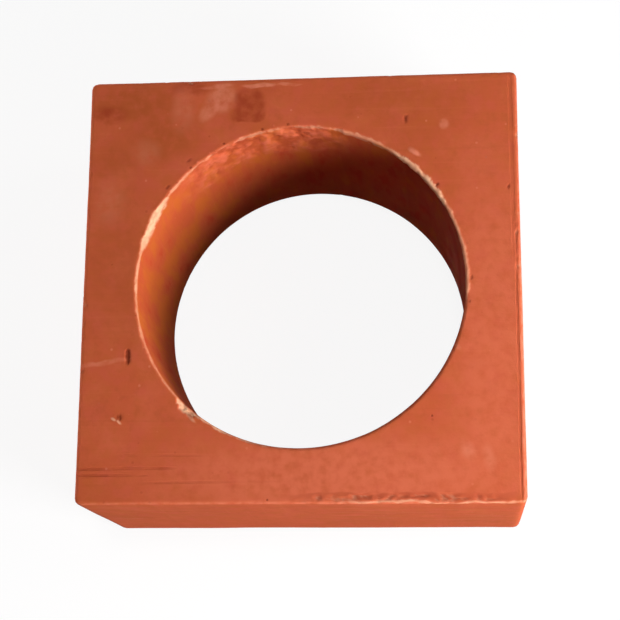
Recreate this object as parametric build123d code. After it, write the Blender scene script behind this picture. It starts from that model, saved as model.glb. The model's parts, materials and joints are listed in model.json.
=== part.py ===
from build123d import *
import os

# Clay screen brick: a square block of fired clay with a round hole straight through it.
# The clay column leaves a die that gives it its sides, its rounded corners and its hole, and a wire cuts it to
# length. The two wire-cut faces are the ones that show in a wall.
# Frame: +Z runs along the hole, X and Y lie along the sides, and the origin is the middle of the cut face that the
# brick lies on. Lengths are in millimetres.

# Block
SIDE = 200.0
DEPTH = 100.0

# Hole: as wide as the wall between it and the nearest side leaves it
THIN_WALL = 25.0
BORE_DIAMETER = SIDE - 2 * THIN_WALL

# Edges: the die's radius on the four long corners, and the worn roundings round the cut faces and round the hole
CORNER_RADIUS = 3.0
ARRIS_RADIUS = 1.0
RIM_RADIUS = 1.2


def die_section() -> Sketch:
    """The clay column's section: a square with rounded corners round its core."""
    with BuildSketch() as section:
        RectangleRounded(SIDE, SIDE, CORNER_RADIUS)
        Circle(BORE_DIAMETER / 2, mode=Mode.SUBTRACT)
    return section.sketch


def clay_brick() -> Part:
    """The column cut to length, with its sharp edges worn round."""
    with BuildPart() as brick:
        add(die_section())
        extrude(amount=DEPTH)
        cut_faces = brick.faces().filter_by(Axis.Z)
        outer_edges = [edge for face in cut_faces for edge in face.outer_wire().edges()]
        rim_edges = [edge for face in cut_faces for wire in face.inner_wires() for edge in wire.edges()]
        fillet(outer_edges, radius=ARRIS_RADIUS)
        fillet(rim_edges, radius=RIM_RADIUS)
    brick.part.label = "clay_brick"
    return brick.part


os.makedirs("parts", exist_ok=True)
export_step(clay_brick(), "parts/clay_brick.step")
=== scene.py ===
"""Dresses the round-hole clay brick.

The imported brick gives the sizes. The block is modelled again as its maker leaves it: a clay column with a
round core, cut by a wire, with a torn and chipped rim, wire marks and worn arrises. It gets its fired clay
and lies on a pale floor in soft light. Lengths are in metres.
"""

import json
import logging
import math
from dataclasses import dataclass
from enum import Enum
from functools import reduce
from typing import Any, Callable, Dict, Iterable, List, Optional, Sequence, Tuple, Union

import bmesh
import bpy
from mathutils import Matrix, Vector

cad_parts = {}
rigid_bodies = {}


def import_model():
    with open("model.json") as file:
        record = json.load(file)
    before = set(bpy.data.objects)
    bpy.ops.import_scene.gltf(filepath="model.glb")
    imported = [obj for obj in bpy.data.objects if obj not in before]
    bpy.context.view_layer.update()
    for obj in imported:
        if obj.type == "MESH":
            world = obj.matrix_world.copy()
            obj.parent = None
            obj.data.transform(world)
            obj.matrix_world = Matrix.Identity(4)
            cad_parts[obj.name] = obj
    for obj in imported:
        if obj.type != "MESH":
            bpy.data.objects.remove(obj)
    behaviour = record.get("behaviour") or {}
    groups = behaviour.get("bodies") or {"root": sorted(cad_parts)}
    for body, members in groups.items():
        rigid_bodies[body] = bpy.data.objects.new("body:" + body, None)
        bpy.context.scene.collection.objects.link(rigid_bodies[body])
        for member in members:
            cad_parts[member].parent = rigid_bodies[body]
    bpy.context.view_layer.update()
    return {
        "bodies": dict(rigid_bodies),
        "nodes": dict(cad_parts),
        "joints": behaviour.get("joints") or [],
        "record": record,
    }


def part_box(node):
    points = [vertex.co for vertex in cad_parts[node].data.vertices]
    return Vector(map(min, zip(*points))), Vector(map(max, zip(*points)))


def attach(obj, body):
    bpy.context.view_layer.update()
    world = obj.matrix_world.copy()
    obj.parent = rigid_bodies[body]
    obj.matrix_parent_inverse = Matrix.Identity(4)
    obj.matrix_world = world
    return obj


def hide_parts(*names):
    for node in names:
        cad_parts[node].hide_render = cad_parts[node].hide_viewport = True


Colour = Tuple[float, float, float]
Point = Tuple[float, float, float]
Station = Tuple[float, float]
Number = Union[float, "Field"]
Paint = Union[Colour, "Field"]
Inputs = Dict[Union[str, int], Any]

NODE = "clay_brick"
BODY = "root"
SLOT = "fired_clay"
BORE_MOUNT = "bore"
BAKE_MAP = "OFBake"
METRES_PER_MM = 0.001
NOISE_MIDDLE = 0.5
NUMBER_SUMS = ("DOT_PRODUCT", "LENGTH")
LOG = logging.getLogger(NODE)


class NodeBench:
    """A node tree in the making, of a surface's shape or of its finish."""

    def __init__(self, tree: bpy.types.NodeTree) -> None:
        """Starts from an empty tree."""
        self.tree = tree
        self.tree.nodes.clear()

    def add(self, kind: str, inputs: Optional[Inputs] = None, **settings: Any) -> bpy.types.Node:
        """Adds one node.

        Args:
            kind: Blender's name for the node.
            inputs: What its inputs take, by name or number.
            settings: Properties to set on it.

        Returns:
            The node.
        """
        node = self.tree.nodes.new(kind)
        for name, value in settings.items():
            setattr(node, name, value)
        for key, value in (inputs or {}).items():
            self.feed(node.inputs[key], value)
        return node

    def field(
        self, kind: str, inputs: Optional[Inputs] = None, output: Union[str, int] = 0, **settings: Any
    ) -> "Field":
        """Adds one node and takes one of its outputs.

        Args:
            kind: Blender's name for the node.
            inputs: What its inputs take, by name or number.
            output: Name or number of the output.
            settings: Properties to set on the node.

        Returns:
            The output.
        """
        return Field(self, self.add(kind, inputs, **settings).outputs[output])

    def feed(self, socket: bpy.types.NodeSocket, value: Any) -> None:
        """Links a field to an input, or sets a plain value on it.

        Args:
            socket: The input.
            value: A field, a number, a place, a colour or a name.
        """
        if isinstance(value, Field):
            self.tree.links.new(value.socket, socket)
        elif socket.type == "RGBA":
            socket.default_value = (*value, 1.0)
        else:
            socket.default_value = value

    def math(self, operation: str, first: Number, second: Number = 0.0) -> "Field":
        """One sum of two numbers, by Blender's name for it."""
        return self.field("ShaderNodeMath", {0: first, 1: second}, operation=operation)

    def place(self, x: Number, y: Number, z: Number) -> "Field":
        """A place made of its three parts."""
        return self.field("ShaderNodeCombineXYZ", {0: x, 1: y, 2: z})

    def length(self, first: "Field", second: "Field") -> "Field":
        """The root of two numbers' squares."""
        return self.math("SQRT", first * first + second * second)

    def blend(self, share: Number, first: Paint, second: Paint) -> "Field":
        """Two colours mixed.

        Args:
            share: How much of the second there is.
            first: Colour below.
            second: Colour above.

        Returns:
            The mixed colour.
        """
        node = self.add("ShaderNodeMix", data_type="RGBA")
        factor, *_ = [socket for socket in node.inputs if socket.type == "VALUE"]
        below, above = [socket for socket in node.inputs if socket.type == "RGBA"]
        for socket, value in ((factor, share), (below, first), (above, second)):
            self.feed(socket, value)
        return Field(self, next(socket for socket in node.outputs if socket.type == "RGBA"))


class Field:
    """A number, place or colour that changes over the surface: a node's output, ready for sums."""

    def __init__(self, bench: NodeBench, socket: bpy.types.NodeSocket) -> None:
        """Keeps the output and the bench that it is on."""
        self.bench = bench
        self.socket = socket

    def __add__(self, other: Number) -> "Field":
        """The sum with a number or a field."""
        return self.bench.math("ADD", self, other)

    def __sub__(self, other: Number) -> "Field":
        """This less a number or a field."""
        return self.bench.math("SUBTRACT", self, other)

    def __rsub__(self, other: Number) -> "Field":
        """A number less this."""
        return self.bench.math("SUBTRACT", other, self)

    def __mul__(self, other: Number) -> "Field":
        """The product with a number or a field."""
        return self.bench.math("MULTIPLY", self, other)

    def __truediv__(self, other: Number) -> "Field":
        """This divided by a number or a field."""
        return self.bench.math("DIVIDE", self, other)

    def size(self) -> "Field":
        """The same number without its sign."""
        return self.bench.math("ABSOLUTE", self)

    def at_least(self, other: Number) -> "Field":
        """The larger of the two."""
        return self.bench.math("MAXIMUM", self, other)

    def at_most(self, other: Number) -> "Field":
        """The smaller of the two."""
        return self.bench.math("MINIMUM", self, other)

    def rise(self, low: float, high: float) -> "Field":
        """A smooth step from 0 at low to 1 at high, or down again where low is the larger."""
        steps = {"Value": self, "From Min": low, "From Max": high}
        return self.bench.field("ShaderNodeMapRange", steps, "Result", interpolation_type="SMOOTHSTEP")

    def vector(self, operation: str, other: Union[Number, Point] = (0.0, 0.0, 0.0)) -> "Field":
        """One sum of this place and another, or a number taken from this place.

        Args:
            operation: Blender's name for the sum.
            other: The other place, or the factor of SCALE.

        Returns:
            The place or the number that results.
        """
        inputs = {0: self, "Scale" if operation == "SCALE" else 1: other}
        output = "Value" if operation in NUMBER_SUMS else "Vector"
        return self.bench.field("ShaderNodeVectorMath", inputs, output, operation=operation)

    def turned(self, degrees: float) -> "Field":
        """This place turned about Z."""
        inputs = {"Vector": self, "Angle": math.radians(degrees)}
        return self.bench.field("ShaderNodeVectorRotate", inputs, rotation_type="Z_AXIS")

    def parts(self) -> List["Field"]:
        """The three parts of this place or colour."""
        node = self.bench.add("ShaderNodeSeparateXYZ", {0: self})
        return [Field(self.bench, part) for part in node.outputs]

    def cells(self, gap: float, reach: str = "3D") -> Tuple["Field", List["Field"]]:
        """Scattered spots, each with three lots of its own from 0 to 1.

        Args:
            gap: Distance between spots.
            reach: Whether they are scattered in space, or over X and Y alone.

        Returns:
            The distance from this place to the nearest spot, and the spot's lots.
        """
        inputs = {"Vector": self, "Scale": 1.0 / gap}
        spots = self.bench.add("ShaderNodeTexVoronoi", inputs, voronoi_dimensions=reach).outputs
        return Field(self.bench, spots["Distance"]) * gap, Field(self.bench, spots["Color"]).parts()


def largest(fields: Iterable[Field]) -> Field:
    """The largest of several fields, point by point."""
    return reduce(Field.at_least, fields)


@dataclass(frozen=True)
class Band:
    """A soft step: the values at which it begins and is full, and the height that it reaches."""

    start: float
    full: float
    height: float = 1.0

    def of(self, value: Field) -> Field:
        """The step in a field, from 0 to its height."""
        return value.rise(self.start, self.full) * self.height


@dataclass(frozen=True)
class Noise:
    """Cloudy noise: the length of its coarsest waves, the octaves below that and the share that each keeps.

    The length is one number, or one for each of X, Y and Z.
    """

    size: Union[float, Point]
    detail: float = 2.0
    roughness: float = 0.5

    def at(self, place: Field) -> Field:
        """The noise at a place.

        Args:
            place: Where it is read.

        Returns:
            A number from 0 to 1.
        """
        scale = 1.0
        if isinstance(self.size, tuple):
            place = place.vector("DIVIDE", self.size)
        else:
            scale = 1.0 / self.size
        inputs = {"Vector": place, "Scale": scale, "Detail": self.detail, "Roughness": self.roughness}
        return place.bench.field("ShaderNodeTexNoise", inputs)

    def swing(self, place: Field, height: float) -> Field:
        """The noise at a place, swinging by about a height to either side of zero."""
        return (self.at(place) - NOISE_MIDDLE) / NOISE_MIDDLE * height


@dataclass(frozen=True)
class Patches:
    """Patches sorted out of cloudy noise: the noise, and the band of it that they take up."""

    noise: Noise
    band: Band

    def at(self, place: Field) -> Field:
        """How much of a patch there is at a place."""
        return self.band.of(self.noise.at(place))


class Note(Enum):
    """What the weathering notes on the mesh for the clay's colours."""

    FRESH = "fresh"
    SMEARED = "smeared"
    HOLLOW = "hollow"
    EDGE_GAP = "edge_gap"
    RELIEF = "relief"
    CUT_FACE = "cut_face"

    def read(self, bench: NodeBench) -> Field:
        """The note, as a number that a finish can use."""
        return bench.field("ShaderNodeAttribute", output="Fac", attribute_name=self.value)


class MarkKind(Enum):
    """What a mark on the cut face is."""

    PIT = "clay plucked out"
    SCORE = "groove of a grain under the wire"
    CRUMB = "clay stuck on"
    CRUMBLED = "stretch of an edge that fell to crumbs"
    STAIN = "dark patch"
    # Browner tone of the clay, and painted shade on the side away from the key lamp.
    CLOUD = "browner clay"
    # Painted light: a brighter patch where the key lamp falls.
    BLOOM = "dustier clay"
    SMEAR = "pale slip"
    FLECK = "pale broken clay"


@dataclass(frozen=True)
class Mark:
    """One mark on the cut face that shows.

    It has its middle, its length, width and turn in degrees, how strong, deep or high it is, how soft its
    edge is, and whether its outline is square.
    """

    x: float
    y: float
    length: float
    width: float
    turn: float = 0.0
    amount: float = 1.0
    soft: float = 0.3
    square: bool = False

    def mask(self, flat: Field) -> Field:
        """Where the mark is.

        Args:
            flat: Place on the face, with no height.

        Returns:
            1 inside the mark and 0 outside.
        """
        offset = flat.vector("SUBTRACT", (self.x, self.y, 0.0))
        if self.turn:
            offset = offset.turned(-self.turn)
        shares = offset.vector("DIVIDE", (self.length / 2, self.width / 2, 1.0))
        if self.square:
            shares = shares.vector("MULTIPLY", shares)
        return shares.vector("LENGTH").rise(1 + self.soft, 1 - self.soft)


FaceMarks = Dict[MarkKind, Tuple[Mark, ...]]


def layer(marks: Iterable[Mark], flat: Field) -> Field:
    """The amount of the strongest of several marks, point by point."""
    return largest(mark.mask(flat) * mark.amount for mark in marks)


@dataclass(frozen=True)
class RimDamage:
    """A damaged stretch of the upper rim.

    It has its middle and half its length in degrees, its reach across the face and down the wall, how ragged
    and how pale it is, and how high clay was pushed up there, if it wasn't lost.
    """

    angle: float
    spread: float
    width: float
    drop: float
    ragged: float
    pale: float
    burr: float = 0.0


FACE_MARKS: FaceMarks = {
    MarkKind.SMEAR: (
        Mark(-0.0425, 0.0865, 0.0150, 0.0075, 62.0, 0.75, 0.35),
        Mark(-0.0380, 0.0910, 0.0150, 0.0110, 55.0, 0.65, 0.40),
        Mark(-0.0395, 0.0966, 0.0140, 0.0022, 5.0, 0.75, 0.4),
        Mark(-0.0200, 0.0968, 0.0150, 0.0022, 0.0, 0.85),
        Mark(-0.0060, 0.0966, 0.0110, 0.0016, 0.0, 0.65),
        Mark(-0.0560, 0.0850, 0.0100, 0.0190, 0.0, 0.30, 0.6),
        Mark(-0.0730, 0.0650, 0.0110, 0.0110, 0.0, 0.30, 0.7),
        Mark(-0.0890, 0.0400, 0.0130, 0.0180, 0.0, 0.30, 0.7),
        Mark(0.0662, 0.0752, 0.0042, 0.0048, 0.0, 0.55, 0.5),
        Mark(0.0750, -0.0770, 0.0050, 0.0080, 30.0, 0.45, 0.7),
        Mark(0.0835, -0.0800, 0.0040, 0.0090, 10.0, 0.40, 0.7),
        Mark(0.0720, -0.0150, 0.0060, 0.0040, 40.0, 0.40, 0.7),
        Mark(0.0702, -0.0300, 0.0034, 0.0022, -50.0, 0.50, 0.6),
        Mark(-0.0885, -0.0356, 0.0210, 0.0022, 8.0, 0.50, 0.5),
        Mark(0.0522, 0.0622, 0.0050, 0.0022, -35.0, 0.90, 0.6),
        Mark(0.0994, -0.0450, 0.1150, 0.0011, 90.0, 0.70, 0.4, True),
    ),
    MarkKind.STAIN: (
        Mark(-0.0250, 0.0880, 0.0160, 0.0150, 0.0, 0.85, 0.2),
        Mark(-0.0250, 0.0832, 0.0172, 0.0085, 0.0, 0.85, 0.2, True),
        Mark(-0.0905, 0.0842, 0.0150, 0.0072, -6.0, 0.85, 0.6),
        Mark(-0.0520, 0.0958, 0.0180, 0.0065, 0.0, 0.65, 0.5),
        Mark(0.0450, -0.0968, 0.0900, 0.0030, 0.0, 0.60, 0.8, True),
    ),
    # Browner tone in the upper left corner, and painted shade along the left and upper sides, away from the
    # key lamp.
    MarkKind.CLOUD: (
        Mark(-0.0780, 0.0900, 0.0420, 0.0170, 0.0, 0.85, 0.5),
        Mark(-0.0640, 0.0720, 0.0300, 0.0220, 20.0, 0.90, 0.6),
        Mark(-0.0860, 0.0600, 0.0200, 0.0180, 0.0, 0.60, 0.6),
        Mark(-0.0840, 0.0150, 0.0260, 0.0620, 0.0, 0.50, 0.7),
        Mark(0.0350, 0.0900, 0.0700, 0.0140, 0.0, 0.35, 0.7),
    ),
    # Painted light: brighter clay along the lower and right sides of the face, where the key lamp falls.
    MarkKind.BLOOM: (
        Mark(0.0200, -0.0880, 0.1500, 0.0340, 0.0, 1.00, 0.6),
        Mark(0.0860, -0.0300, 0.0360, 0.1500, 0.0, 0.75, 0.6),
    ),
    MarkKind.FLECK: (
        Mark(-0.0836, -0.0614, 0.0024, 0.0014, 140.0, 0.60, 0.5),
        Mark(-0.0812, -0.0628, 0.0026, 0.0014, 130.0, 0.60, 0.5),
        Mark(-0.0546, -0.0535, 0.0026, 0.0014, 40.0, 0.50, 0.6),
        Mark(-0.0474, -0.0622, 0.0036, 0.0014, -38.0, 0.40, 0.6),
        Mark(0.0620, -0.0994, 0.0760, 0.0010, 0.0, 0.50, 0.4, True),
    ),
    MarkKind.CRUMB: (
        Mark(-0.0822, -0.0622, 0.0050, 0.0022, 140.0, 0.0002),
        Mark(0.0522, 0.0622, 0.0048, 0.0022, -35.0, 0.0002, 0.6),
        Mark(-0.0474, -0.0622, 0.0036, 0.0016, -38.0, 0.0002),
    ),
    MarkKind.PIT: (
        Mark(0.0486, 0.0778, 0.0034, 0.0013, 97.0, 0.0004),
        Mark(-0.0780, -0.0329, 0.0066, 0.0018, 94.0, 0.0005, 0.3, True),
        Mark(-0.0806, -0.0606, 0.0030, 0.0015, 140.0, 0.0004),
        Mark(0.0950, 0.0440, 0.0015, 0.0012, 90.0, 0.0003),
        Mark(0.0626, 0.0455, 0.0026, 0.0012, 48.0, 0.0003),
        Mark(0.0776, 0.0014, 0.0020, 0.0012, 80.0, 0.0002),
        Mark(0.0766, -0.0097, 0.0016, 0.0012, 60.0, 0.0002),
        Mark(-0.0620, 0.0475, 0.0030, 0.0012, 50.0, 0.0002),
        Mark(-0.0525, 0.0604, 0.0028, 0.0012, 40.0, 0.0002),
    ),
    MarkKind.SCORE: (
        Mark(-0.0785, -0.0838, 0.0420, 0.0014, 0.4, 0.00030, 0.6, True),
        Mark(-0.0840, -0.0868, 0.0300, 0.0012, -0.6, 0.00030, 0.6, True),
        Mark(-0.0600, -0.0780, 0.0400, 0.0012, -0.5, 0.00010, 0.7, True),
        Mark(-0.0400, -0.0900, 0.0600, 0.0012, 0.5, 0.00010, 0.7, True),
        # Along the right edge: grooves darkened as the painted shade of a joint.
        Mark(0.0974, -0.0440, 0.1120, 0.0011, 90.0, 0.00018, 0.5, True),
        Mark(0.0966, 0.0560, 0.0860, 0.0018, 90.0, 0.00012, 0.7, True),
    ),
    MarkKind.CRUMBLED: (
        Mark(0.0450, -0.0985, 0.0880, 0.0050, 0.0, 0.0006, 0.3, True),
        Mark(0.0995, 0.0680, 0.0060, 0.0040, 90.0, 0.0010),
        Mark(0.0990, 0.0160, 0.0260, 0.0030, 90.0, 0.0006, 0.3, True),
        Mark(-0.0995, -0.0380, 0.0050, 0.0030, 90.0, 0.0006),
    ),
}

RIM_DAMAGE = (
    # The pale share is freshly broken clay, on the lips partly a painted highlight where they catch the key
    # lamp.
    RimDamage(156.0, 13.0, 0.0026, 0.0105, 0.50, 1.0),
    RimDamage(170.0, 18.0, 0.0016, 0.0030, 0.55, 0.60),
    RimDamage(134.0, 17.0, 0.0014, 0.0034, 0.80, 0.45),
    RimDamage(97.0, 36.0, 0.0019, 0.0030, 0.95, 0.35),
    RimDamage(64.0, 16.0, 0.0019, 0.0065, 0.75, 0.42, 0.0002),
    RimDamage(41.0, 17.0, 0.0030, 0.0065, 0.65, 0.95, 0.0006),
    RimDamage(13.0, 25.0, 0.0025, 0.0024, 0.40, 0.45, 0.0005),
    RimDamage(204.0, 34.0, 0.0015, 0.0020, 0.50, 0.35),
    RimDamage(229.0, 7.0, 0.0044, 0.0035, 0.75, 0.95),
    RimDamage(237.0, 11.0, 0.0018, 0.0020, 0.60, 0.9),
    RimDamage(252.0, 18.0, 0.0015, 0.0015, 0.60, 0.5),
)


@dataclass(frozen=True)
class BrickSizes:
    """The brick's sizes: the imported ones, and the roundings of its edges."""

    side: float
    depth: float
    bore_radius: float
    corner_radius: float = 0.003
    arris_radius: float = 0.001
    rim_radius: float = 0.0012

    @classmethod
    def from_frame(cls, frame: Dict[str, Any]) -> "BrickSizes":
        """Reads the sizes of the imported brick.


        Returns:
            The sizes.
        """
        low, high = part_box(NODE)
        bore = next(mount for mount in frame["record"]["mounts"] if mount["name"] == BORE_MOUNT)
        return cls(high.x - low.x, high.z - low.z, bore["dims"]["r_mm"] * METRES_PER_MM)


class Ground:
    """A surface of the brick as fields: where each of its points is."""

    def __init__(self, place: Field, sizes: BrickSizes) -> None:
        """Takes the place apart.

        Args:
            place: Where each point is.
            sizes: The brick's sizes.
        """
        self.bench = place.bench
        self.sizes = sizes
        self.place = place
        self.x, self.y, self.z = place.parts()
        self.flat = self.bench.place(self.x, self.y, 0.0)
        self.radius = self.flat.vector("LENGTH")

    def shifted(self, x: Field, y: Field) -> Field:
        """The place with no height, moved along X and Y."""
        return self.bench.place(self.x + x, self.y + y, 0.0)


class PlainGround(Ground):
    """The plain block's surface: where its points are, which way they face and how far the edges are."""

    FACING: Band = Band(0.6, 0.95)

    def __init__(self, bench: NodeBench, sizes: BrickSizes) -> None:
        """Works the fields out.

        Args:
            bench: Tree that they are drawn in.
            sizes: The brick's sizes.
        """
        super().__init__(bench.field("GeometryNodeInputPosition"), sizes)
        self.normal = bench.field("GeometryNodeInputNormal")
        self.outward = self.flat.vector("NORMALIZE")
        self.cut_face = self.FACING.of(self.normal.parts()[2].size())
        self.beside_bore = self.radius - sizes.bore_radius
        self.below_top = sizes.depth - self.z
        self.from_rim = bench.place(self.beside_bore, self.below_top, 0.0)
        to_cut = self.below_top.at_most(self.z)
        beside_x, beside_y = [sizes.side / 2 - part.size() for part in (self.x, self.y)]
        rim = bench.length(self.beside_bore, to_cut)
        arris = bench.length(beside_x.at_most(beside_y), to_cut)
        self.edge = rim.at_most(arris).at_most(bench.length(beside_x, beside_y))

    def sector(self, angle: float, spread: float) -> Field:
        """A stretch of the way round the hole.

        Args:
            angle: Middle of the stretch, in degrees.
            spread: Half its length, in degrees.

        Returns:
            1 in the middle, falling to 0 at its ends.
        """
        way = (math.cos(math.radians(angle)), math.sin(math.radians(angle)), 0.0)
        ends, middle = math.cos(math.radians(spread)), math.cos(math.radians(spread / 2))
        return self.outward.vector("DOT_PRODUCT", way).rise(ends, middle)


class ClayGround(Ground):
    """The weathered brick's surface, as its clay sees it."""

    def __init__(self, bench: NodeBench, sizes: BrickSizes, marks: FaceMarks) -> None:
        """Works the fields out.

        Args:
            bench: Tree that they are drawn in.
            sizes: The brick's sizes.
            marks: Marks on the cut face that shows.
        """
        super().__init__(bench.field("ShaderNodeTexCoord", output="Object"), sizes)
        self.marks = marks
        self.cut_face = Note.CUT_FACE.read(bench)
        over_arris = sizes.depth - sizes.arris_radius
        self.upper_face = self.z.rise(over_arris - sizes.arris_radius, over_arris)


@dataclass(frozen=True)
class Weathering:
    """The relief that cutting, drying, firing and handling leave: its patterns, its heights and its reach."""

    sizes: BrickSizes
    marks: FaceMarks
    rim_damage: Sequence[RimDamage]
    warp: Noise = Noise(0.09)
    warp_height: float = 0.0004
    drag: Noise = Noise((0.12, 0.004, 0.09), 4.0)
    drag_wander: float = 0.004
    drag_height: float = 0.00010
    drag_patches: Patches = Patches(Noise(0.045), Band(0.40, 0.70))
    streaks: Noise = Noise((0.003, 0.003, 0.15))
    streak_height: float = 0.00006
    grain: Noise = Noise(0.0026, 3.0)
    grain_height: float = 0.00004
    wear: Noise = Noise(0.008, 3.0)
    wear_depth: Band = Band(0.0020, 0.0, 0.0005)
    nibbled: Patches = Patches(Noise(0.045, 1.0), Band(0.48, 0.66))
    nibbles: Patches = Patches(Noise(0.005, 5.0, 0.65), Band(0.55, 0.70))
    nibble_depth: Band = Band(0.0030, 0.0010, 0.0009)
    crumbling: Patches = Patches(Noise(0.003, 4.0, 0.65), Band(0.44, 0.62))
    arris_skin: Band = Band(0.0022, 0.0008)
    broken_band: Band = Band(0.0003, 0.0009, 0.4)
    rim_bites: Patches = Patches(Noise(0.006, 4.0, 0.7), Band(0.30, 0.70, 0.8))
    rim_teeth: Patches = Patches(Noise(0.0022), Band(0.35, 0.65, 0.2))
    break_slope: float = 0.7
    burr_band: Band = Band(0.0, 0.6)
    pale_band: Band = Band(0.0, 0.3)
    outline: Noise = Noise(0.003, 3.0)
    outline_sway: float = 0.0004
    face_skin: Band = Band(0.0008, 0.0002)
    hollow_band: Band = Band(0.0, 0.0003)
    torn_angle: float = 106.0
    torn_spread: float = 38.0
    torn_drop: float = 0.036
    torn_full_share: float = 0.6
    torn_end: Noise = Noise(0.0075)
    torn_end_sway: float = 0.0075
    flaps: Patches = Patches(Noise((0.0075, 0.0075, 0.011), 3.0), Band(0.38, 0.64))
    flap_level: float = 0.6
    flap_thickness: float = 0.0008
    lumps: Noise = Noise(0.0038, 3.0)
    lump_height: float = 0.0009
    lump_angle: float = 109.0
    lump_spread: float = 30.0
    lump_drop: Band = Band(0.018, 0.009)
    lump_smear: Band = Band(-0.1, 0.3)
    crumb_gap: float = 0.0030
    crumb_radius: float = 0.0011
    crumb_edge: Band = Band(1.0, 0.4)
    crumb_height: float = 0.0003
    crumb_reach: Band = Band(0.0065, 0.0)
    crumb_chance: Band = Band(0.40, 0.45)
    crumb_skin: Band = Band(0.0004, 0.0)
    stuck_lot: Band = Band(0.55, 0.50)
    plucked_lot: Band = Band(0.50, 0.55)
    edge_smoothing: int = 40

    def apply(self, piece: bpy.types.Object) -> None:
        """Works the relief into a piece.

        Args:
            piece: The plain block, which is the active object.
        """
        modifier = piece.modifiers.new("weathering", "NODES")
        modifier.node_group = self.tree()
        bpy.ops.object.modifier_apply(modifier=modifier.name)

    def tree(self) -> bpy.types.NodeTree:
        """Draws the relief.

        Returns:
            A node tree that moves the block's surface and notes what the clay's colours need.
        """
        tree = bpy.data.node_groups.new("weathering", "GeometryNodeTree")
        for way in ("INPUT", "OUTPUT"):
            tree.interface.new_socket("Geometry", in_out=way, socket_type="NodeSocketGeometry")
        bench = NodeBench(tree)
        ground = PlainGround(bench, self.sizes)
        torn, smeared = self.torn_wall(ground)
        rim_loss, burr, pale_rim_and_highlight = self.rim_loss(ground)
        stuck, plucked = self.strewn(ground)
        crumbs = self.on_face(ground, MarkKind.CRUMB).at_least(stuck * self.crumb_height)
        pits = self.on_face(ground, MarkKind.PIT).at_least(plucked * self.crumb_height)
        nibbled, crumbled = self.edge_loss(ground), self.crumbled(ground)
        raised = self.broad_relief(ground) + torn + burr + crumbs
        loss = largest((rim_loss, nibbled, pits, crumbled))
        mesh = self.noted(bench, {
            # Pale broken clay, on the rim lips partly a painted highlight.
            Note.FRESH: pale_rim_and_highlight.at_least(self.broken_band.of(nibbled.at_least(crumbled))),
            Note.SMEARED: smeared.at_least(stuck),
            # Where pits are, for their painted shade.
            Note.HOLLOW: self.hollow_band.of(pits),
            Note.EDGE_GAP: ground.edge,
            Note.RELIEF: raised - loss,
            Note.CUT_FACE: ground.cut_face,
        })
        places = {"Geometry": mesh, "Position": self.moved(ground, raised, loss)}
        bench.add("NodeGroupOutput", {0: bench.field("GeometryNodeSetPosition", places)})
        return tree

    def noted(self, bench: NodeBench, notes: Dict[Note, Field]) -> Field:
        """Writes the notes on the mesh.

        Args:
            bench: Tree that they are drawn in.
            notes: What each note says, point by point.

        Returns:
            The mesh with its notes.
        """
        mesh = bench.field("NodeGroupInput")
        for note, value in notes.items():
            inputs = {"Geometry": mesh, "Name": note.value, "Value": value}
            mesh = bench.field("GeometryNodeStoreNamedAttribute", inputs, data_type="FLOAT", domain="POINT")
        return mesh

    def moved(self, ground: PlainGround, raised: Field, loss: Field) -> Field:
        """Where the surface goes.

        Args:
            ground: The plain block's surface.
            raised: Height that the relief adds, square to the surface.
            loss: Depth that is gone, square to the surface as it is with its edges blunted.

        Returns:
            The new places, none of them below the floor.
        """
        bench = ground.bench
        blunted = bench.add(
            "GeometryNodeBlurAttribute", {"Iterations": self.edge_smoothing}, data_type="FLOAT_VECTOR"
        )
        bench.feed(next(socket for socket in blunted.inputs if socket.enabled), ground.normal)
        outward = Field(bench, next(socket for socket in blunted.outputs if socket.enabled))
        place = ground.place.vector("ADD", ground.normal.vector("SCALE", raised))
        x, y, z = place.vector("SUBTRACT", outward.vector("SCALE", loss)).parts()
        return bench.place(x, y, z.at_least(0.0))

    def broad_relief(self, ground: PlainGround) -> Field:
        """The relief that lies all over: warp, wire drag and grain on cut faces, die streaks on the rest.

        Args:
            ground: The plain block's surface.

        Returns:
            Height above the plain block.
        """
        place = ground.place
        wander = self.warp.swing(place, self.drag_wander)
        swayed = ground.bench.place(ground.x, ground.y + wander, ground.z)
        drag = self.drag.swing(swayed, self.drag_height) * self.drag_patches.at(place)
        grain = self.grain.swing(place, self.grain_height)
        streaks = self.streaks.swing(place, self.streak_height)
        warp = self.warp.swing(place, self.warp_height)
        return warp + (drag + grain) * ground.cut_face + streaks * (1.0 - ground.cut_face)

    def edge_loss(self, ground: PlainGround) -> Field:
        """What has worn and crumbled off the edges all round.

        Args:
            ground: The plain block's surface.

        Returns:
            Depth lost.
        """
        worn = self.wear_depth.of(ground.edge) * self.wear.at(ground.place)
        nibbles = self.nibbled.at(ground.place) * self.nibbles.at(ground.place)
        return worn + nibbles * self.nibble_depth.of(ground.edge)

    def rim_loss(self, ground: PlainGround) -> Tuple[Field, Field, Field]:
        """What is gone from the upper rim or pushed up there, stretch by stretch.

        Args:
            ground: The plain block's surface.

        Returns:
            Depth lost, height pushed up, and how pale it is: freshly broken clay, on the lips partly a
            painted highlight where they catch the key lamp.
        """
        bitten = self.rim_bites.at(ground.place) + self.rim_teeth.at(ground.place)
        losses: List[Field] = []
        burrs: List[Field] = []
        pales: List[Field] = []
        for stretch in self.rim_damage:
            here = ground.sector(stretch.angle, stretch.spread) * (1.0 - bitten * stretch.ragged)
            gap = ground.from_rim.vector("DIVIDE", (stretch.width, stretch.drop, 1.0))
            gone = (here - gap.vector("LENGTH")).at_least(0.0)
            burrs.append(self.burr_band.of(gone) * stretch.burr)
            losses.append(gone * (0.0 if stretch.burr else stretch.width * self.break_slope))
            pales.append(self.pale_band.of(gone) * stretch.pale)
        return largest(losses), largest(burrs), largest(pales)

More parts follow.
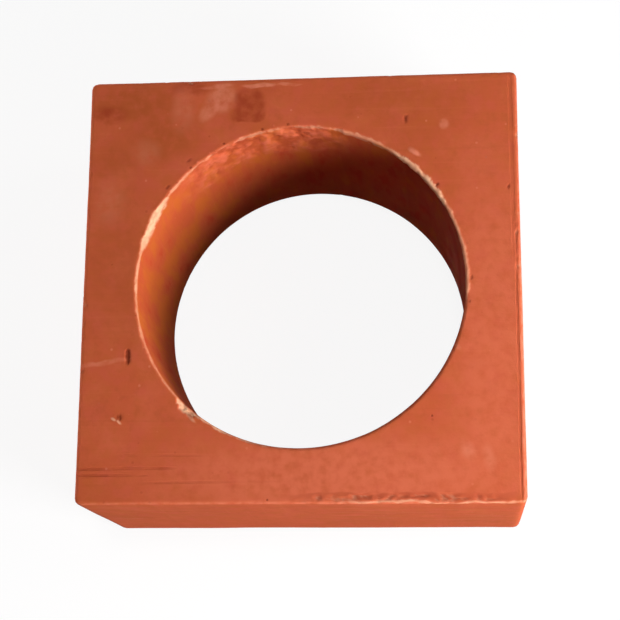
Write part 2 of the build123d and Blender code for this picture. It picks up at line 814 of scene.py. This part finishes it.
    def strewn(self, ground: PlainGround) -> Tuple[Field, Field]:
        """Small crumbs and plucked specks strewn on the cut face beside the damaged stretches of the rim.

        Args:
            ground: The plain block's surface.

        Returns:
            1 on a crumb and 0 beside it, and the same for the specks.
        """
        ragged = largest(
            ground.sector(stretch.angle, stretch.spread) * stretch.ragged for stretch in self.rim_damage
        )
        gap, lots = ground.place.cells(self.crumb_gap, "2D")
        chance = lots[0] * ragged * self.crumb_reach.of(ground.beside_bore)
        spots = self.crumb_edge.of(gap / (lots[1] * self.crumb_radius)) * self.crumb_chance.of(chance)
        spots = spots * self.crumb_skin.of(ground.below_top)
        return spots * self.stuck_lot.of(lots[2]), spots * self.plucked_lot.of(lots[2])

    def torn_wall(self, ground: PlainGround) -> Tuple[Field, Field]:
        """The flaps and hollows where the wire dragged clay over the rim and down the hole's wall.

        Args:
            ground: The plain block's surface.

        Returns:
            Height above the plain wall, and where the dragged clay lies.
        """
        place = ground.place
        on_wall = ground.beside_bore.rise(self.sizes.rim_radius, 0.0)
        below = ground.below_top + self.torn_end.swing(place, self.torn_end_sway)
        zone = on_wall * below.rise(self.torn_drop, self.torn_drop * self.torn_full_share)
        zone = zone * ground.sector(self.torn_angle, self.torn_spread)
        rough = zone * self.lump_drop.of(ground.below_top)
        rough = rough * ground.sector(self.lump_angle, self.lump_spread)
        flaps = self.flaps.at(place)
        lumps = self.lumps.swing(place, 1.0)
        height = (flaps - self.flap_level) * self.flap_thickness * zone + lumps * self.lump_height * rough
        return height, (flaps * zone).at_least(self.lump_smear.of(lumps) * rough)

    def on_face(self, ground: PlainGround, kind: MarkKind) -> Field:
        """How high or deep the marks of one kind are on the cut face that shows, with uneven outlines.

        Args:
            ground: The plain block's surface.
            kind: The kind of mark.

        Returns:
            Height or depth.
        """
        wobble = self.outline.swing(ground.place, self.outline_sway)
        return layer(self.marks[kind], ground.shifted(wobble, wobble)) * self.face_skin.of(ground.below_top)

    def crumbled(self, ground: PlainGround) -> Field:
        """Stretches of the upper arris that fell to crumbs.

        Args:
            ground: The plain block's surface.

        Returns:
            Depth lost.
        """
        stretches = layer(self.marks[MarkKind.CRUMBLED], ground.flat) * self.arris_skin.of(ground.below_top)
        return stretches * self.crumbling.at(ground.place)


@dataclass(frozen=True)
class FiredClay:
    """Unglazed red clay: its colours, its patterns and its sheen."""

    body: Colour = (0.500, 0.094, 0.037)
    drawn: Colour = (0.500, 0.080, 0.022)
    golden: Colour = (0.520, 0.118, 0.020)
    ruddy: Colour = (0.470, 0.047, 0.018)
    ochre: Colour = (0.450, 0.102, 0.026)
    rosy: Colour = (0.530, 0.090, 0.054)
    # Painted shade for pits and pinholes.
    pit: Colour = (0.190, 0.030, 0.012)
    burnt: Colour = (0.370, 0.076, 0.022)
    bright: Colour = (0.600, 0.132, 0.064)
    maroon: Colour = (0.310, 0.046, 0.017)
    slip: Colour = (0.660, 0.200, 0.115)
    dragged: Colour = (0.630, 0.140, 0.074)
    # Pale broken clay, also a painted highlight on the rim lips.
    fresh: Colour = (0.850, 0.480, 0.290)
    clouds: Patches = Patches(Noise(0.07, 3.0), Band(0.42, 0.72, 0.45))
    mottles: Patches = Patches(Noise(0.016, 4.0, 0.6), Band(0.42, 0.78, 0.45))
    blotches: Patches = Patches(Noise(0.006, 4.0, 0.65), Band(0.48, 0.75, 0.38))
    tints: Noise = Noise(0.009, 4.0, 0.6)
    tint_offset: Point = (0.07, 0.0, 0.0)
    ochre_band: Band = Band(0.50, 0.66, 0.34)
    rosy_band: Band = Band(0.50, 0.34, 0.34)
    speck_gap: float = 0.0045
    speck_radius: float = 0.0006
    speck_edge: Band = Band(1.3, 0.7)
    speck_lot: Band = Band(0.86, 0.90, 0.4)
    drawn_share: float = 0.6
    flames: Noise = Noise((0.010, 0.010, 0.030), 3.0, 0.55)
    # Painted light and shade: how far the hole's wall turns golden on its lit left side and red on its shaded
    # right side.
    painted_light_shift: float = 0.05
    golden_band: Band = Band(0.48, 0.68, 0.80)
    ruddy_band: Band = Band(0.48, 0.30, 0.80)
    rubs: Patches = Patches(Noise((0.030, 0.030, 0.004), 5.0, 0.65), Band(0.50, 0.66, 0.22))
    rubbed: Patches = Patches(Noise(0.07), Band(0.48, 0.66))
    wire_lines: Noise = Noise((0.08, 0.0022, 0.08), 4.0, 0.6)
    die_lines: Noise = Noise((0.0022, 0.0022, 0.08), 4.0, 0.6)
    dark_line_band: Band = Band(0.55, 0.80, 0.25)
    pale_line_band: Band = Band(0.45, 0.20, 0.25)
    line_height: float = 0.00006
    mark_outline: Noise = Noise(0.006, 3.0)
    mark_sway: float = 0.00088
    mark_course: Noise = Noise(0.016)
    mark_drift: float = 0.0022
    mark_patches: Patches = Patches(Noise(0.0045, 3.0), Band(0.1, 0.7))
    score_course: Noise = Noise(0.07)
    score_sway: float = 0.0006
    score_patches: Patches = Patches(Noise(0.016, 3.0), Band(0.20, 0.60))
    score_shade_band: Band = Band(0.0, 0.0003, 0.6)
    pinhole_gap: float = 0.012
    pinhole_radius: float = 0.0008
    pinhole_edge: Band = Band(1.0, 0.6)
    pinhole_lot: Band = Band(0.55, 0.60)
    pinhole_depth: float = 0.0004
    pinhole_shade_share: float = 0.6
    wear_patches: Patches = Patches(Noise(0.0045, 4.0, 0.6), Band(0.35, 0.65))
    rubbed_edge_band: Band = Band(0.0014, 0.0004, 0.4)
    smear_least: float = 0.3
    smear_swing: float = 0.6
    # Painted shade: how much darker the clay is where the relief sinks.
    hollow_shade_band: Band = Band(-0.0002, -0.0008, 0.6)
    pit_shade_share: float = 0.85
    fresh_least: float = 0.6
    fresh_swing: float = 0.35
    grain: Noise = Noise(0.0012, 4.0, 0.6)
    grain_height: float = 0.00010
    bump_distance: float = 1.0
    specular: float = 0.02
    sheen: Noise = Noise(0.016, 3.0)
    roughness: float = 0.78
    roughness_swing: float = 0.12

    def material(self, sizes: BrickSizes, marks: FaceMarks) -> bpy.types.Material:
        """Makes the finish.

        Args:
            sizes: The brick's sizes.
            marks: Marks on the cut face that shows.

        Returns:
            The material.
        """
        material = bpy.data.materials.new(SLOT)
        material.use_nodes = True
        bench = NodeBench(material.node_tree)
        ground = ClayGround(bench, sizes, marks)
        lines, pinholes, scores = self.lines(ground), self.pinholes(ground), self.scores(ground)
        colour = self.drawn_wall(ground, self.mottled(ground))
        colour = bench.blend(self.scuffs(ground), colour, self.slip)
        colour = bench.blend(self.dark_line_band.of(lines), colour, self.burnt)
        colour = bench.blend(self.pale_line_band.of(lines), colour, self.bright)
        colour = self.marked(ground, colour)
        # Painted shade: the grooves are darkened.
        colour = bench.blend(self.score_shade_band.of(scores), colour, self.maroon)
        # Painted shade: the pinholes are darkened.
        colour = bench.blend(pinholes * self.pinhole_shade_share, colour, self.pit)
        relief = self.grain.at(ground.place) * self.grain_height + lines * self.line_height
        relief = relief - scores - pinholes * self.pinhole_depth
        shader = bench.field("ShaderNodeBsdfPrincipled", {
            "Base Color": self.worn(ground, colour),
            "Roughness": self.sheen.swing(ground.place, self.roughness_swing) + self.roughness,
            "Specular IOR Level": self.specular,
            "Normal": bench.field("ShaderNodeBump", {"Height": relief, "Distance": self.bump_distance}),
        })
        bench.add("ShaderNodeOutputMaterial", {"Surface": shader})
        return material

    def mottled(self, ground: ClayGround) -> Field:
        """The clay's own clouds, mottles and specks.

        Args:
            ground: The brick's surface.

        Returns:
            The colour.
        """
        bench, place = ground.bench, ground.place
        tints = self.tints.at(place.vector("ADD", self.tint_offset))
        gap, lots = place.cells(self.speck_gap)
        specks = self.speck_edge.of(gap / self.speck_radius)
        colour = bench.blend(self.clouds.at(place), self.body, self.burnt)
        colour = bench.blend(self.mottles.at(place), colour, self.bright)
        colour = bench.blend(self.ochre_band.of(tints), colour, self.ochre)
        colour = bench.blend(self.rosy_band.of(tints), colour, self.rosy)
        colour = bench.blend(self.blotches.at(place), colour, self.burnt)
        colour = bench.blend(specks * self.speck_lot.of(lots[0]), colour, self.slip)
        return bench.blend(specks * self.speck_lot.of(lots[1]), colour, self.maroon)

    def drawn_wall(self, ground: ClayGround, colour: Field) -> Field:
        """The hole's wall, which the core left cleaner and flamed along the draw, with painted light and
        shade: more golden on its lit left side and redder on its shaded right side.

        Args:
            ground: The brick's surface.
            colour: Colour below.

        Returns:
            The colour.
        """
        bench, bore = ground.bench, ground.sizes.bore_radius
        in_bore = ground.radius.rise(bore + ground.sizes.rim_radius, bore)
        # Painted light and shade: golden towards the lit left side of the wall, red towards its shaded right
        # side.
        flames = self.flames.at(ground.place) - ground.x * (self.painted_light_shift / bore)
        colour = bench.blend(in_bore * self.drawn_share, colour, self.drawn)
        colour = bench.blend(in_bore * self.golden_band.of(flames), colour, self.golden)
        return bench.blend(in_bore * self.ruddy_band.of(flames), colour, self.ruddy)

    def pinholes(self, ground: ClayGround) -> Field:
        """Scattered small holes: 1 inside, 0 outside."""
        gap, lots = ground.place.cells(self.pinhole_gap)
        return self.pinhole_edge.of(gap / (lots[1] * self.pinhole_radius)) * self.pinhole_lot.of(lots[0])

    def scuffs(self, ground: ClayGround) -> Field:
        """Pale rubs along the outer sides.

        Args:
            ground: The brick's surface.

        Returns:
            How strong they are.
        """
        outside = ground.radius.rise(ground.sizes.bore_radius, ground.sizes.side / 2)
        rubs = self.rubs.at(ground.place) * self.rubbed.at(ground.place)
        return rubs * outside * (1.0 - ground.cut_face)

    def lines(self, ground: ClayGround) -> Field:
        """Noise drawn out into lines: along the wire's drag on the cut faces, along the die on the others."""
        along_wire, along_die = self.wire_lines.at(ground.place), self.die_lines.at(ground.place)
        return along_die + (along_wire - along_die) * ground.cut_face

    def marked(self, ground: ClayGround, colour: Field) -> Field:
        """Stains and smears on the cut face that shows, with a browner tone and painted shade towards its
        left and upper sides, and painted light towards its lower and right sides.

        Args:
            ground: The brick's surface.
            colour: Colour below.

        Returns:
            The colour.
        """
        sway = self.mark_outline.swing(ground.place, self.mark_sway)
        drift = self.mark_course.swing(ground.place, self.mark_drift)
        flat = ground.shifted(sway + drift, sway - drift)
        patchy = self.mark_patches.at(ground.place) * ground.upper_face
        tints = {
            # browner tone and painted shade
            MarkKind.CLOUD: self.burnt,
            # painted light
            MarkKind.BLOOM: self.bright,
            MarkKind.STAIN: self.maroon,
            MarkKind.SMEAR: self.slip,
            MarkKind.FLECK: self.fresh,
        }
        for kind, tint in tints.items():
            colour = ground.bench.blend(layer(ground.marks[kind], flat) * patchy, colour, tint)
        return colour

    def scores(self, ground: ClayGround) -> Field:
        """Fine grooves that grains under the wire drew on the cut face that shows, and grooves along its
        right edge that carry the painted shade of a joint.

        Args:
            ground: The brick's surface.

        Returns:
            Depth of the grooves.
        """
        sway = self.score_course.swing(ground.place, self.score_sway)
        patchy = self.score_patches.at(ground.place) * ground.upper_face
        return layer(ground.marks[MarkKind.SCORE], ground.shifted(sway, sway)) * patchy

    def worn(self, ground: ClayGround, colour: Field) -> Field:
        """Paler clay where edges are rubbed, smeared or broken, on the rim lips partly a painted highlight,
        and painted shade in hollows and pits.

        Args:
            ground: The brick's surface.
            colour: Colour below.

        Returns:
            The colour.
        """
        bench = ground.bench
        patchy = self.wear_patches.at(ground.place)
        rubbed = self.rubbed_edge_band.of(Note.EDGE_GAP.read(bench)) * patchy
        smeared = Note.SMEARED.read(bench) * (patchy * self.smear_swing + self.smear_least)
        # Pale broken clay, on the rim lips partly a painted highlight.
        broken = Note.FRESH.read(bench) * (patchy * self.fresh_swing + self.fresh_least)
        colour = bench.blend(rubbed, colour, self.slip)
        colour = bench.blend(smeared, colour, self.dragged)
        # Painted shade: darker where the relief sinks into hollows.
        colour = bench.blend(self.hollow_shade_band.of(Note.RELIEF.read(bench)), colour, self.maroon)
        # Painted shade: the plucked pits and specks are darkened.
        colour = bench.blend(Note.HOLLOW.read(bench) * self.pit_shade_share, colour, self.pit)
        return bench.blend(broken, colour, self.fresh)


class Element(Enum):
    """What is picked in edit mode."""

    EDGE = "edges"
    FACE = "faces"

    def pick(self, piece: bpy.types.Object, test: Callable[[Any], bool]) -> None:
        """Selects the edges or faces that pass a test, and nothing else.

        Args:
            piece: The mesh in edit mode.
            test: Says whether an edge or face is wanted.
        """
        bpy.ops.mesh.select_mode(type=self.name)
        bpy.ops.mesh.select_all(action="DESELECT")
        shape = bmesh.from_edit_mesh(piece.data)
        for element in getattr(shape, self.value):
            if test(element):
                element.select_set(True)
        bmesh.update_edit_mesh(piece.data)


@dataclass
class ClayBrick:
    """The brick: its sizes, its weathering, its clay, how finely it is meshed and how it is unwrapped."""

    sizes: BrickSizes
    weathering: Weathering
    clay: FiredClay
    side_steps: int = 101
    corner_steps: int = 3
    arris_band: float = 0.0026
    arris_rings: int = 3
    rim_band: float = 0.0078
    rim_rings: int = 7
    face_rings: int = 16
    under_rings: int = 12
    wall_rings: int = 13
    wall_growth: float = 1.20
    bore_rings: int = 24
    bore_growth: float = 1.05
    low_bore_rings: int = 12
    low_bore_growth: float = 1.25
    fine_drop: float = 0.0045
    rounding_steps: int = 2
    unwrap_angle: float = 50.0
    unwrap_margin: float = 0.004

    def build(self) -> bpy.types.Object:
        """Models, weathers and dresses the brick.

        Returns:
            The finished piece.
        """
        piece = self.block()
        self.unwrap(piece)
        self.weathering.apply(piece)
        bpy.ops.object.shade_smooth()
        piece.data.materials.append(self.clay.material(self.sizes, self.weathering.marks))
        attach(piece, BODY)
        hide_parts(NODE)
        piece.data.calc_loop_triangles()
        LOG.info("%s: %d triangles", piece.name, len(piece.data.loop_triangles))
        return piece

    def block(self) -> bpy.types.Object:
        """Models the plain block: upper cut face, sides, hole and under face, with rounded edges.

        Returns:
            The block, at the origin.
        """
        inset = self.sizes.side / 2 - self.sizes.arris_radius
        rim = self.sizes.bore_radius + self.sizes.rim_radius
        piece = self.outline(inset)
        self.draw(self.flat_stations(inset, inset - self.arris_band, self.arris_rings))
        bpy.ops.mesh.select_all(action="DESELECT")
        around = 4 * (self.side_steps + self.corner_steps)
        bpy.ops.mesh.primitive_circle_add(vertices=around, radius=rim, location=(0.0, 0.0, self.sizes.depth))
        self.draw(self.flat_stations(rim, rim + self.rim_band, self.rim_rings))

        in_rim = rim + self.rim_band / 2
        in_arris = inset - self.arris_band / 2
        Element.EDGE.pick(
            piece, lambda edge: edge.is_boundary and self.reach(edge) > in_rim and self.span(edge) < in_arris
        )
        self.bridge(self.face_rings)
        Element.EDGE.pick(piece, lambda edge: edge.is_boundary and self.reach(edge) > in_rim)
        self.draw(self.outer_stations())
        Element.EDGE.pick(piece, lambda edge: edge.is_boundary and self.reach(edge) < in_rim)
        self.draw(self.bore_stations())
        Element.EDGE.pick(piece, lambda edge: edge.is_boundary)
        self.bridge(self.under_rings)
        bpy.ops.mesh.select_all(action="SELECT")
        bpy.ops.mesh.normals_make_consistent(inside=False)
        Element.FACE.pick(piece, self.shows_detail)
        bpy.ops.mesh.subdivide(number_cuts=1, ngon=False)
        bpy.ops.object.mode_set(mode="OBJECT")
        return piece

    def outline(self, inset: float) -> bpy.types.Object:
        """Draws the upper face's outline, with the die's rounded corners, and leaves it picked in edit mode.

        Args:
            inset: Half width of the outline.

        Returns:
            The piece that it is in.
        """
        sizes = self.sizes
        bpy.ops.object.select_all(action="DESELECT")
        bpy.ops.mesh.primitive_plane_add(size=2 * inset, location=(0.0, 0.0, sizes.depth))
        piece = bpy.context.object
        piece.name = "weathered_clay_brick"
        piece.data.name = piece.name
        bpy.ops.object.transform_apply(location=True, rotation=True, scale=True)
        bpy.ops.object.mode_set(mode="EDIT")
        bpy.ops.mesh.select_mode(type="EDGE")
        bpy.ops.mesh.select_all(action="SELECT")
        bpy.ops.mesh.bevel(
            offset=sizes.corner_radius, segments=self.corner_steps, affect="VERTICES", clamp_overlap=False
        )
        bpy.ops.mesh.delete(type="ONLY_FACE")
        Element.EDGE.pick(piece, lambda edge: edge.calc_length() > sizes.side / 2)
        bpy.ops.mesh.subdivide(number_cuts=self.side_steps - 1)
        bpy.ops.mesh.select_all(action="SELECT")
        return piece

    def shows_detail(self, face: bmesh.types.BMFace) -> bool:
        """Says whether a face needs a finer mesh.

        Args:
            face: The face.

        Returns:
            Whether it is on or close below the upper cut face, or on the torn part of the hole's wall.
        """
        middle = face.calc_center_median()
        sizes, torn = self.sizes, self.weathering
        if middle.z > sizes.depth - self.fine_drop:
            return True
        turn = math.degrees(math.atan2(middle.y, middle.x)) - torn.torn_angle
        in_bore = middle.xy.length < sizes.bore_radius + sizes.rim_radius
        return in_bore and middle.z > sizes.depth - torn.torn_drop and abs(turn) < torn.torn_spread

    def reach(self, edge: bmesh.types.BMEdge) -> float:
        """An edge's distance from the hole's axis."""
        return ((edge.verts[0].co + edge.verts[1].co) / 2).xy.length

    def span(self, edge: bmesh.types.BMEdge) -> float:
        """An edge's distance from the hole's axis along the sides of the brick."""
        middle = (edge.verts[0].co + edge.verts[1].co) / 2
        return max(abs(middle.x), abs(middle.y))

    def bridge(self, rings: int) -> None:
        """Fills the gap between the two picked loops with flat rings of faces."""
        bpy.ops.mesh.bridge_edge_loops(number_cuts=rings - 1, interpolation="LINEAR")

    def draw(self, stations: Iterable[Station]) -> None:
        """Extrudes the picked loop from station to station.

        Args:
            stations: Half width and height of the loop at each stop, beginning with where it is.
        """
        stops = list(stations)
        for (last_span, last_height), (span, height) in zip(stops, stops[1:]):
            bpy.ops.mesh.extrude_edges_move(
                TRANSFORM_OT_translate={"value": (0.0, 0.0, height - last_height)}
            )
            bpy.ops.transform.resize(
                value=(span / last_span, span / last_span, 1.0), center_override=(0.0, 0.0, height)
            )

    def flat_stations(self, start: float, end: float, rings: int) -> List[Station]:
        """Even stops across the upper face, from one half width to another."""
        return [(start + (end - start) * ring / rings, self.sizes.depth) for ring in range(rings + 1)]

    def rounding(self, radius: float) -> List[Station]:
        """A quarter round, as steps across and down from its upper end."""
        angles = [math.pi / 2 * step / self.rounding_steps for step in range(self.rounding_steps + 1)]
        return [(radius * math.sin(angle), radius * (1 - math.cos(angle))) for angle in angles]

    def stops(self, length: float, rings: int, growth: float) -> List[float]:
        """Distances along a length in rings that grow by a factor, each from the last."""
        steps = [growth ** ring for ring in range(rings)]
        return [length * sum(steps[:ring]) / sum(steps) for ring in range(1, rings + 1)]

    def outer_stations(self) -> List[Station]:
        """Stops from the upper face over the arris, down the side and round to the under face.

        Returns:
            Half width and height at each stop.
        """
        half_side, radius, depth = self.sizes.side / 2, self.sizes.arris_radius, self.sizes.depth
        over = [(half_side - radius + out, depth - down) for out, down in self.rounding(radius)]
        drops = self.stops(depth / 2 - radius, self.wall_rings, self.wall_growth)
        upper = over + [(half_side, depth - radius - drop) for drop in drops]
        return upper + [(span, depth - height) for span, height in reversed(upper[:-1])]

    def bore_stations(self) -> List[Station]:
        """Stops from the upper face over the rim, down the hole and round to the under face.

        Returns:
            Radius and height at each stop.
        """
        bore, radius, depth = self.sizes.bore_radius, self.sizes.rim_radius, self.sizes.depth
        over = [(bore + radius - out, depth - down) for out, down in self.rounding(radius)]
        straight = depth / 2 - radius
        upper = self.stops(straight, self.bore_rings, self.bore_growth)
        lower = self.stops(straight, self.low_bore_rings, self.low_bore_growth)
        under = over + [(bore, depth - radius - drop) for drop in lower[:-1]]
        down = over + [(bore, depth - radius - drop) for drop in upper]
        return down + [(span, depth - height) for span, height in reversed(under)]

    def unwrap(self, piece: bpy.types.Object) -> None:
        """Lays the plain block's faces out flat, before the relief makes them uneven.

        Args:
            piece: The plain block.
        """
        piece.data.uv_layers.new(name=BAKE_MAP)
        bpy.ops.object.mode_set(mode="EDIT")
        bpy.ops.mesh.select_all(action="SELECT")
        bpy.ops.uv.smart_project(
            angle_limit=math.radians(self.unwrap_angle), island_margin=self.unwrap_margin
        )
        bpy.ops.object.mode_set(mode="OBJECT")


@dataclass(frozen=True)
class SoftBox:
    """A soft light that faces the brick: where it stands, its width and height, and its level there."""

    name: str
    azimuth: float
    elevation: float
    distance: float
    width: float
    height: float
    level: float

    def build(self, target: Vector) -> bpy.types.Object:
        """Sets the light up.

        Args:
            target: Point that it faces.

        Returns:
            The lamp.
        """
        turn, lift = math.radians(self.azimuth), math.radians(self.elevation)
        flat = math.cos(lift)
        way = Vector((flat * math.cos(turn), flat * math.sin(turn), math.sin(lift)))
        lamp = bpy.data.lights.new(self.name, "AREA")
        lamp.shape = "RECTANGLE"
        lamp.size = self.width
        lamp.size_y = self.height
        lamp.energy = self.level * (math.pi * self.distance) ** 2
        stand = bpy.data.objects.new(self.name, lamp)
        stand.location = target + way * self.distance
        stand.rotation_euler = way.to_track_quat("Z", "Y").to_euler()
        bpy.context.scene.collection.objects.link(stand)
        LOG.info("%s: %.1f watts", self.name, lamp.energy)
        return stand


@dataclass(frozen=True)
class Studio:
    """The pale floor, the soft light and the camera."""

    boxes: Tuple[SoftBox, ...] = (
        SoftBox("key_box", -31.0, 20.5, 0.80, 0.36, 0.36, 1.66),
        SoftBox("top_box", 0.0, 88.0, 2.0, 0.30, 0.30, 0.37),
        SoftBox("wall_box", 10.0, 39.0, 2.0, 0.60, 0.60, 0.17),
        SoftBox("side_strip", 145.0, 0.0, 0.90, 0.90, 0.09, 1.00),
        SoftBox("corner_strip", 232.0, 0.0, 0.90, 0.50, 0.09, 0.30),
    )
    sky_colour: Colour = (1.0, 1.0, 1.0)
    sky_low: float = 0.06
    sky_high: float = 0.02
    sky_fade: Tuple[float, float] = (0.05, 0.5)
    floor_width: float = 8.0
    floor_bounce: Colour = (0.12, 0.12, 0.12)
    floor_shade: Colour = (0.92, 0.92, 0.92)
    shadow_share: float = 0.12
    eye: Point = (0.069, -0.181, 0.775)
    picture_up: Point = (0.0, 1.0, 0.0)
    roll: float = 0.4
    fill_share: float = 0.74
    sensor: float = 36.0

    def build(self, sizes: BrickSizes) -> None:
        """Sets up floor, sky, lights and camera.

        Args:
            sizes: The brick's sizes.
        """
        target = Vector((0.0, 0.0, sizes.depth / 2))
        self.floor()
        self.sky()
        for box in self.boxes:
            box.build(target)
        self.camera(sizes, target)

    def seen(self, bench: NodeBench) -> Field:
        """1 for the rays that show the floor or sky itself, 0 for those that only light the brick."""
        rays = ("Is Camera Ray", "Is Glossy Ray", "Is Transmission Ray")
        return largest(bench.field("ShaderNodeLightPath", output=ray) for ray in rays)

    def floor(self) -> bpy.types.Object:
        """Lays the floor, white to the eye but for the brick's shadow.

        Returns:
            The floor.
        """
        bpy.ops.object.select_all(action="DESELECT")
        bpy.ops.mesh.primitive_plane_add(size=self.floor_width)
        floor = bpy.context.object
        floor.name = "floor"
        material = bpy.data.materials.new("pale_floor")
        material.use_nodes = True
        bench = NodeBench(material.node_tree)
        bounce = bench.field("ShaderNodeBsdfDiffuse", {"Color": self.floor_bounce})
        shade = bench.field("ShaderNodeBsdfDiffuse", {"Color": self.floor_shade})
        white = bench.field("ShaderNodeEmission")
        shown = bench.field("ShaderNodeMixShader", {0: self.shadow_share, 1: white, 2: shade})
        both = bench.field("ShaderNodeMixShader", {0: self.seen(bench), 1: bounce, 2: shown})
        bench.add("ShaderNodeOutputMaterial", {"Surface": both})
        floor.data.materials.append(material)
        return floor

    def sky(self) -> None:
        """Lights the scene from all round, mostly from low down, out of a sky that looks white."""
        world = bpy.data.worlds.new("studio")
        world.use_nodes = True
        bench = NodeBench(world.node_tree)
        height = bench.field("ShaderNodeTexCoord", output="Generated").parts()[2]
        lit = height.rise(*self.sky_fade) * (self.sky_high - self.sky_low) + self.sky_low
        level = lit + (1.0 - lit) * self.seen(bench)
        light = bench.field("ShaderNodeBackground", {"Color": self.sky_colour, "Strength": level})
        bench.add("ShaderNodeOutputWorld", {"Surface": light})
        bpy.context.scene.world = world

    def camera(self, sizes: BrickSizes, target: Vector) -> None:
        """Looks at the brick from the photograph's eye, with the brick's sides square to the picture.

        Args:
            sizes: The brick's sizes.
            target: Point in the middle of the picture.
        """
        eye = Vector(self.eye)
        back = (eye - target).normalized()
        right = Vector(self.picture_up).cross(back).normalized()
        level = Matrix((right, back.cross(right), back)).transposed()
        turn = level @ Matrix.Rotation(math.radians(self.roll), 3, "Z")
        lens = bpy.data.cameras.new("photo_camera")
        lens.sensor_width = self.sensor
        lens.lens = self.sensor * self.fill_share * (eye.z - sizes.depth) / sizes.side
        camera = bpy.data.objects.new("photo_camera", lens)
        camera.location = eye
        camera.rotation_euler = turn.to_euler()
        bpy.context.scene.collection.objects.link(camera)
        bpy.context.scene.camera = camera
        LOG.info("camera: %.0f mm lens", lens.lens)


def main() -> None:
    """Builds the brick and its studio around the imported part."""
    logging.basicConfig(level=logging.INFO, format="%(name)s: %(message)s")
    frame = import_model()
    sizes = BrickSizes.from_frame(frame)
    bpy.context.scene.view_settings.view_transform = "Standard"
    ClayBrick(sizes, Weathering(sizes, FACE_MARKS, RIM_DAMAGE), FiredClay()).build()
    Studio().build(sizes)


if __name__ == "__main__":
    main()
